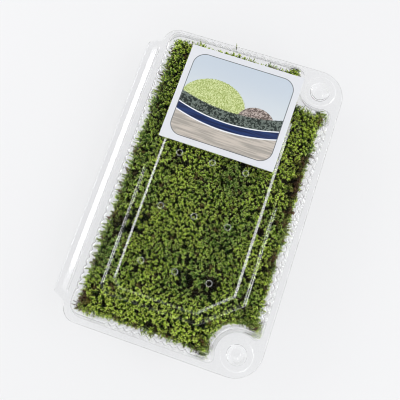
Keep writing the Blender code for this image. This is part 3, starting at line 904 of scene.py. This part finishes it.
PANEL_FOOT_X = (-37.0, 46.0)
PANEL_FOOT_END = 78.0
PANEL_X = (-30.5, 39.0)
PANEL_END = 72.5
PANEL_FOOT_ARC = 30.0
PANEL_ARC = 35.0
PANEL_CHAMFER = 4.5
NEAR_CORNER_ROUNDNESS = 0.1  # 0 cuts the near snap corner straight, 1 rounds it as the far one
PANEL_RINGS = (  # share of the way in, share of the way up, and of the bead's height
    (-0.290, 0.0, 0.0), (-0.185, 0.0, 1.0), (-0.130, 0.0, 1.0), (-0.045, 0.0, 0.0),
    (0.02, 0.0, 0.0), (0.05, 0.57, 0.0), (0.4, 0.60, 0.0), (0.70, 0.625, 0.0), (0.72, 0.635, 0.0),
    (0.74, 0.655, 0.0), (0.96, 0.965, 0.0), (0.98, 0.99, 0.0), (1.0, 1.0, 0.0), (1.04, 1.0, 0.0),
)
BEAD_RINGS = 4  # the first of them
SLOPE_FOOT = 9  # the ring at the foot of the panel's slope, with its crest as the next
STEP_BEAD = 0.40  # the low bead along the panel's foot, and where it fades out towards the card
STEP_BEAD_FADE = (-4.0, 12.0)
# Nearer than this, the bead's faint white is a painted highlight.
STEP_BEAD_HIGHLIGHT_NEAR = -42.0  # nearer than this, the bead is faintly white
PANEL_RIPPLE = 1.7  # pitch of the fine ripple along the bead
RIPPLE_DEPTH = 0.012
DIMPLE_COLUMNS = (-20.0, 1.6, 23.2)
DIMPLE_ROWS = (-54.0, -18.5, 17.0, 52.5)
DIMPLE_PROFILE = ((2.05, 0.0), (1.9, 0.18), (1.8, 0.18), (1.65, 0.0))
DIMPLE_STEPS = 24
PLUG_RADIUS = 5.6
PLUG_DEPTH = 3.3
CORNER_STEPS = 18


def panel_outline(sides, end, radius):
    """A rectangle with chamfered hinge corners, whose snap corners are cut off round the buttons."""
    on_side = (sides[1], BUTTON.y - math.sqrt(radius**2 - (BUTTON.x - sides[1]) ** 2))
    on_end = (BUTTON.x - math.sqrt(radius**2 - (BUTTON.y - end) ** 2), end)
    snap = arc(BUTTON, radius, direction(BUTTON, on_side), direction(BUTTON, on_end), CORNER_STEPS)
    near_snap = []
    for i, rounded in enumerate(snap):
        straight = Vector(on_side).lerp(Vector(on_end), i / CORNER_STEPS)
        near_snap.append(tuple(straight.lerp(Vector(rounded), NEAR_CORNER_ROUNDNESS)))
    hinge = [(sides[0] + PANEL_CHAMFER, end), (sides[0], end - PANEL_CHAMFER)]
    corners = mirrored(near_snap) + snap + hinge + mirrored(hinge)
    steps = 4 * round(2 * PANEL_END / PANEL_RIPPLE)
    points = []
    for start, finish in zip(corners, corners[1:] + corners[:1]):
        long_side = abs(start[0] - finish[0]) < 1e-6
        parts = steps if long_side else 1
        points += [tuple(Vector(start).lerp(Vector(finish), i / parts)) for i in range(parts)]
    return points


bm = bmesh.new()
lid_top = LID_BASE + STEP_RISE
rim = add_rim(bm, LID_BASE, -1.0, BEAD_HEIGHT)
plug_floor = lid_top - PLUG_DEPTH
pad_top = lid_top + PAD_RISE
plug = [(PLUG_RADIUS + 1.0, pad_top), (PLUG_RADIUS + 0.5, pad_top - 0.12),
        (PLUG_RADIUS + 0.1, pad_top - 0.5),
        (PLUG_RADIUS - 1.2, plug_floor + 0.7), (PLUG_RADIUS - 1.6, plug_floor + 0.15),
        (PLUG_RADIUS - 2.0, plug_floor), (PLUG_RADIUS - 2.5, plug_floor),
        (PLUG_RADIUS - 3.1, plug_floor + 0.3), (PLUG_RADIUS - 3.9, plug_floor + 0.6),
        (0.9, plug_floor + 0.75), (0, plug_floor + 0.8)]
pads = [snap_pad(bm, (BUTTON.x, y), lid_top, plug) for y in (BUTTON.y, -BUTTON.y)]
brow = LID_BASE + LID_WALL
wall = wall_rings(bm, (
    (-0.07, lid_top, 0.0),
    (0.2, lid_top + 1.3, 0.1),
    (0.5, lid_top + 2.6, 0.25),
    (1.2, 30.4, 0.7),
    (2.0, brow - 1.0, 1.0),
    (2.3, brow + 0.1, 1.0),
    (2.55, brow + 0.65, 0.95),
    (2.95, brow + 1.05, 0.85),
    (3.7, brow + 1.3, 0.5),
    (4.6, brow + 1.45, 0.15),
    (SHOULDER_INSET, LID_BASE + SHOULDER_RISE, 0.0),
))
bridge_all(bm, wall)
foot_line = panel_outline(PANEL_FOOT_X, PANEL_FOOT_END, PANEL_FOOT_ARC)
panel_line = panel_outline(PANEL_X, PANEL_END, PANEL_ARC)
panel = []
for across, up, bead in PANEL_RINGS:
    line = [tuple(Vector(a).lerp(Vector(b), across)) for a, b in zip(foot_line, panel_line)]
    level = ring(bm, line, LID_BASE + PANEL_FOOT_RISE + (PANEL_RISE - PANEL_FOOT_RISE) * up)
    for i, vert in enumerate(level):
        fade = float(np.interp(vert.co.y, STEP_BEAD_FADE, (1.0, 0.0)))
        vert.co.z += bead * fade * (STEP_BEAD + (RIPPLE_DEPTH if i % 4 < 2 else -RIPPLE_DEPTH))
    panel.append(level)
bridge_all(bm, panel)
slope = set(panel[SLOPE_FOOT] + panel[SLOPE_FOOT + 1])
bead = {vert for level in panel[:BEAD_RINGS] for vert in level if vert.co.y < STEP_BEAD_HIGHLIGHT_NEAR}
# Faces of the panel's long slopes and of the bead's near part take the second material, a faint painted
# highlight.
for face in bm.faces:
    drawn = slope.issuperset(face.verts) or bead.issuperset(face.verts)
    face.normal_update()
    along_side = abs(face.normal.x) > 0.1 and abs(face.normal.y) < 0.05
    if drawn and along_side:
        face.material_index = 1
panel_top = LID_BASE + PANEL_RISE
dimples = []
smooth_faces = len(bm.faces)
for centre in [(x, y) for x in DIMPLE_COLUMNS for y in DIMPLE_ROWS]:
    profile = [(radius, panel_top + rise) for radius, rise in DIMPLE_PROFILE]
    dimples.append(turned(bm, centre, profile, DIMPLE_STEPS))
bm.faces.ensure_lookup_table()
# The crests of the rings take the painted highlight too.
for face in bm.faces[smooth_faces:]:
    face.material_index = 1 if len(face.verts) == 4 else 0
fill(bm, rim, wall[0], *pads)
fill(bm, wall[-1], panel[0])
fill(bm, panel[-1], *dimples)
lid = formed_sheet("lid_clear_sheet", bm, -1, panel[:BEAD_RINGS])
lid.data.materials.append(sheet_material("lid_clear_plastic", CLEAR_COLOUR, ior=1.34,
                                         wave_size=0.03, least=0.10, most=0.14))
# The crests of the rings, the long slopes of the panel and the near part of its bead are faintly
# white: a painted highlight for the glints of light along them.
lid.data.materials.append(sheet_material("lid_painted_highlight_plastic", (0.92, 0.93, 0.93), ior=1.34,
                                         wave_size=0.03, least=0.20, most=0.30, clear=0.90))
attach(lid, "lid")
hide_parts("lid")

# ---- Hinge film --------------------------------------------------------------------------
# The fold between the two halves: the same sheet, creased along its outer edge.

FOLD_X = -WIDTH / 2
FOLD_Z = TRAY_DEPTH + 0.15
FOLD_OUTER = 0.62
FOLD_INNER = 0.2
FOLD_STEPS = 8

bm = bmesh.new()
columns = []
for y in (HINGE_TIP_END - 1.0, 30.0, -30.0, 1.0 - HINGE_TIP_END):
    outer = arc((FOLD_X, FOLD_Z), FOLD_OUTER, 90, 270, FOLD_STEPS)
    inner = arc((FOLD_X, FOLD_Z), FOLD_INNER, 270, 90, FOLD_STEPS)
    columns.append([bm.verts.new((x, y, z)) for x, z in outer + inner])
bridge_all(bm, columns)
bm.faces.new(columns[0])
bm.faces.new(reversed(columns[-1]))
bmesh.ops.recalc_face_normals(bm, faces=bm.faces)
film = mesh_object("hinge_film", bm)
film.data.shade_smooth()
film.data.set_sharp_from_angle(angle=math.radians(SHARP_BEND))
film.data.materials.append(sheet_material("hinge_film_plastic", (0.985, 0.99, 0.995), ior=1.30,
                                          wave_size=0.01, least=0.05, most=0.16, wave_height=0.00005))
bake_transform(film)

# ---- Card --------------------------------------------------------------------------------
# A small card of white coated board, printed on top, stuck on the far end of the lid.

CARD_SIZE = Vector((75.0, 65.0))
CARD_CENTRE = Vector((1.8, 55.5))
CARD_TURN = -0.7
CARD_THICKNESS = 0.4
CARD_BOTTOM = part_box("label_card")[0][2] / MM
WHITE_BORDER = 4.2
FRAME_CORNER = 8.0

bm = bmesh.new()
half = CARD_SIZE / 2
bmesh.ops.create_cube(bm, size=1.0)
bmesh.ops.scale(bm, vec=(CARD_SIZE.x, CARD_SIZE.y, CARD_THICKNESS), verts=bm.verts)
bmesh.ops.bevel(bm, geom=list(bm.edges), offset=0.08, segments=2, affect="EDGES", profile=0.5)
card = mesh_object("printed_card", bm)
card.location = Vector((CARD_CENTRE.x, CARD_CENTRE.y, CARD_BOTTOM + CARD_THICKNESS / 2)) * MM
card.rotation_euler.z = math.radians(CARD_TURN)
card.data.shade_smooth()
card.data.set_sharp_from_angle(angle=math.radians(SHARP_BEND))


def calc(operation, first, second=0.0, third=0.0):
    values = {0: first, 1: second, 2: third}
    return node(first.id_data, "ShaderNodeMath", values, operation=operation).outputs[0]


def square_sum(first, second):
    return calc("ADD", calc("MULTIPLY", first, first), calc("MULTIPLY", second, second))


def rounded_box_distance(x, y, half_x, half_y, radius):
    """Signed distance to a rounded rectangle in the card's own plane, negative inside."""
    over_x = calc("SUBTRACT", calc("ABSOLUTE", x), half_x - radius)
    over_y = calc("SUBTRACT", calc("ABSOLUTE", y), half_y - radius)
    outside_x = calc("MAXIMUM", over_x, 0.0)
    outside_y = calc("MAXIMUM", over_y, 0.0)
    outside = calc("SQRT", square_sum(outside_x, outside_y))
    within = calc("MINIMUM", calc("MAXIMUM", over_x, over_y), 0.0)
    return calc("SUBTRACT", calc("ADD", outside, within), radius)


made, tree, shader = new_material("card_print")
place = node(tree, "ShaderNodeMapping", {"Vector": own_place(tree), "Scale": [1 / MM] * 3}).outputs[0]
x, y, z = node(tree, "ShaderNodeSeparateXYZ", {"Vector": place}).outputs
fine = speckle(place, 1.6, 3.0)
grit = node(tree, "ShaderNodeTexVoronoi", {"Vector": place, "Scale": 1.3}).outputs["Color"]
grit = node(tree, "ShaderNodeSeparateColor", {"Color": grit}).outputs[0]
stretched = node(tree, "ShaderNodeMapping", {"Vector": place, "Scale": (0.06, 0.9, 1.0)}).outputs[0]
streaks = speckle(stretched, 1.0, 3.0)
sky = shade(y, -5.0, 26.0, (0.56, 0.60, 0.63), (0.47, 0.53, 0.60))
sand = shade(streaks, 0.35, 0.65, (0.31, 0.29, 0.26), (0.50, 0.45, 0.40))
soil = shade(grit, 0.35, 0.75, (0.012, 0.018, 0.016), (0.14, 0.17, 0.15))
hill = shade(fine, 0.38, 0.62, (0.26, 0.33, 0.08), (0.58, 0.64, 0.33))
stone = shade(grit, 0.2, 0.85, (0.10, 0.075, 0.065), (0.42, 0.36, 0.33))
water = shade(streaks, 0.4, 0.6, (0.008, 0.016, 0.06), (0.016, 0.035, 0.12))
wobble = calc("MULTIPLY", calc("SUBTRACT", fine, 0.5), 3.0)


def mound(centre_x, centre_y, radius_x, radius_y):
    """0 outside and 1 inside an uneven ellipse."""
    across = calc("DIVIDE", calc("SUBTRACT", x, centre_x), radius_x)
    up = calc("DIVIDE", calc("SUBTRACT", y, centre_y), radius_y)
    reach = calc("ADD", square_sum(across, up), calc("MULTIPLY", wobble, 0.05))
    return ramp(reach, 1.03, 0.97)


sag = calc("MULTIPLY", calc("MULTIPLY", x, x), 0.0045)
shore = calc("SUBTRACT", y, sag)
picture = mix_colour(mound(-13.0, -4.0, 22.0, 18.0), sky, hill)
picture = mix_colour(mound(17.0, -6.0, 12.0, 10.0), picture, stone)
ground = ramp(calc("ADD", shore, calc("MULTIPLY", wobble, 0.6)), -3.6, -4.4)
picture = mix_colour(ground, picture, soil)
bands = ((-11.2, (0.70, 0.73, 0.77)), (-11.9, water), (-16.6, (0.68, 0.71, 0.75)), (-17.4, sand))
for top_edge, band in bands:
    picture = shade(shore, top_edge, top_edge - 0.3, picture, band)
frame_line = rounded_box_distance(x, y, half.x - WHITE_BORDER, half.y - WHITE_BORDER, FRAME_CORNER)
picture = shade(frame_line, -0.25, 0.0, picture, (0.10, 0.11, 0.12))
picture = shade(frame_line, 0.22, 0.45, picture, (0.615, 0.63, 0.665))
top_side = ramp(z, CARD_THICKNESS / 2 - 0.1, CARD_THICKNESS / 2 - 0.02)
colour = mix_colour(top_side, (0.80, 0.80, 0.78), picture)
tooth = bump(speckle(place, 2.5, 4.0), 0.00002, 0.6)
feed(tree, shader, {"Base Color": colour, "Roughness": 0.38, "Normal": tooth})
card.data.materials.append(made)
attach(card, "lid")
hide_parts("label_card")

# ---- Table and light ---------------------------------------------------------------------
# A plain white table in soft daylight from all round, darker overhead, with a broad window on the
# left and on the right and a smaller one on the near side.

TABLE_REACH = 3.0

bm = bmesh.new()
bmesh.ops.create_grid(bm, x_segments=1, y_segments=1, size=TABLE_REACH / MM)
table = mesh_object("table", bm)
made, tree, shader = new_material("white_table")
feed(tree, shader, {"Base Color": (0.12, 0.12, 0.12, 1.0), "Roughness": 0.7,
                    "Emission Color": (0.98, 0.985, 1.0, 1.0), "Emission Strength": 0.74})
table.data.materials.append(made)
table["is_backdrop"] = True

CEILING = Vector((-0.10, 0.20, 0.97)).normalized()  # the dark part of the room, over the camera
world = bpy.data.worlds.new("soft_room")
scene.world = world
world.use_nodes = True
tree = world.node_tree
values = {0: node(tree, "ShaderNodeTexCoord").outputs["Generated"], 1: CEILING}
facing = node(tree, "ShaderNodeVectorMath", values, operation="DOT_PRODUCT").outputs["Value"]
walls = shade(facing, 0.0, 0.35, (0.80, 0.81, 0.83), (1.70, 1.70, 1.70))
room = shade(facing, 0.62, 0.80, walls, (0.02, 0.02, 0.022))
feed(tree, tree.nodes["Background"], {"Color": room, "Strength": 1.0})


def window(name, place, width, height, radiance):
    """A broad soft light that faces the pack."""
    data = bpy.data.lights.new(name, "AREA")
    data.shape = "RECTANGLE"
    data.size, data.size_y = width, height
    data.energy = radiance * math.pi * width * height
    light = new_object(name, data)
    light.location = place
    light.rotation_euler = (Vector((0, 0, 0.02)) - Vector(place)).to_track_quat("-Z", "Y").to_euler()


window("left_window", (-1.00, 0.22, 0.42), 0.60, 0.50, 6.0)
window("right_window", (0.86, 0.17, 0.69), 0.58, 0.50, 5.0)
window("near_window", (0.56, -0.70, 0.73), 0.42, 0.42, 4.0)

scene.view_settings.view_transform = "Standard"
scene.cycles.filter_width = 1.0
scene.cycles.max_bounces = 32
scene.cycles.transmission_bounces = 28

low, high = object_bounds()
sizes = {"cad": [list(cad_low), list(cad_high)], "visual": [list(low), list(high)]}
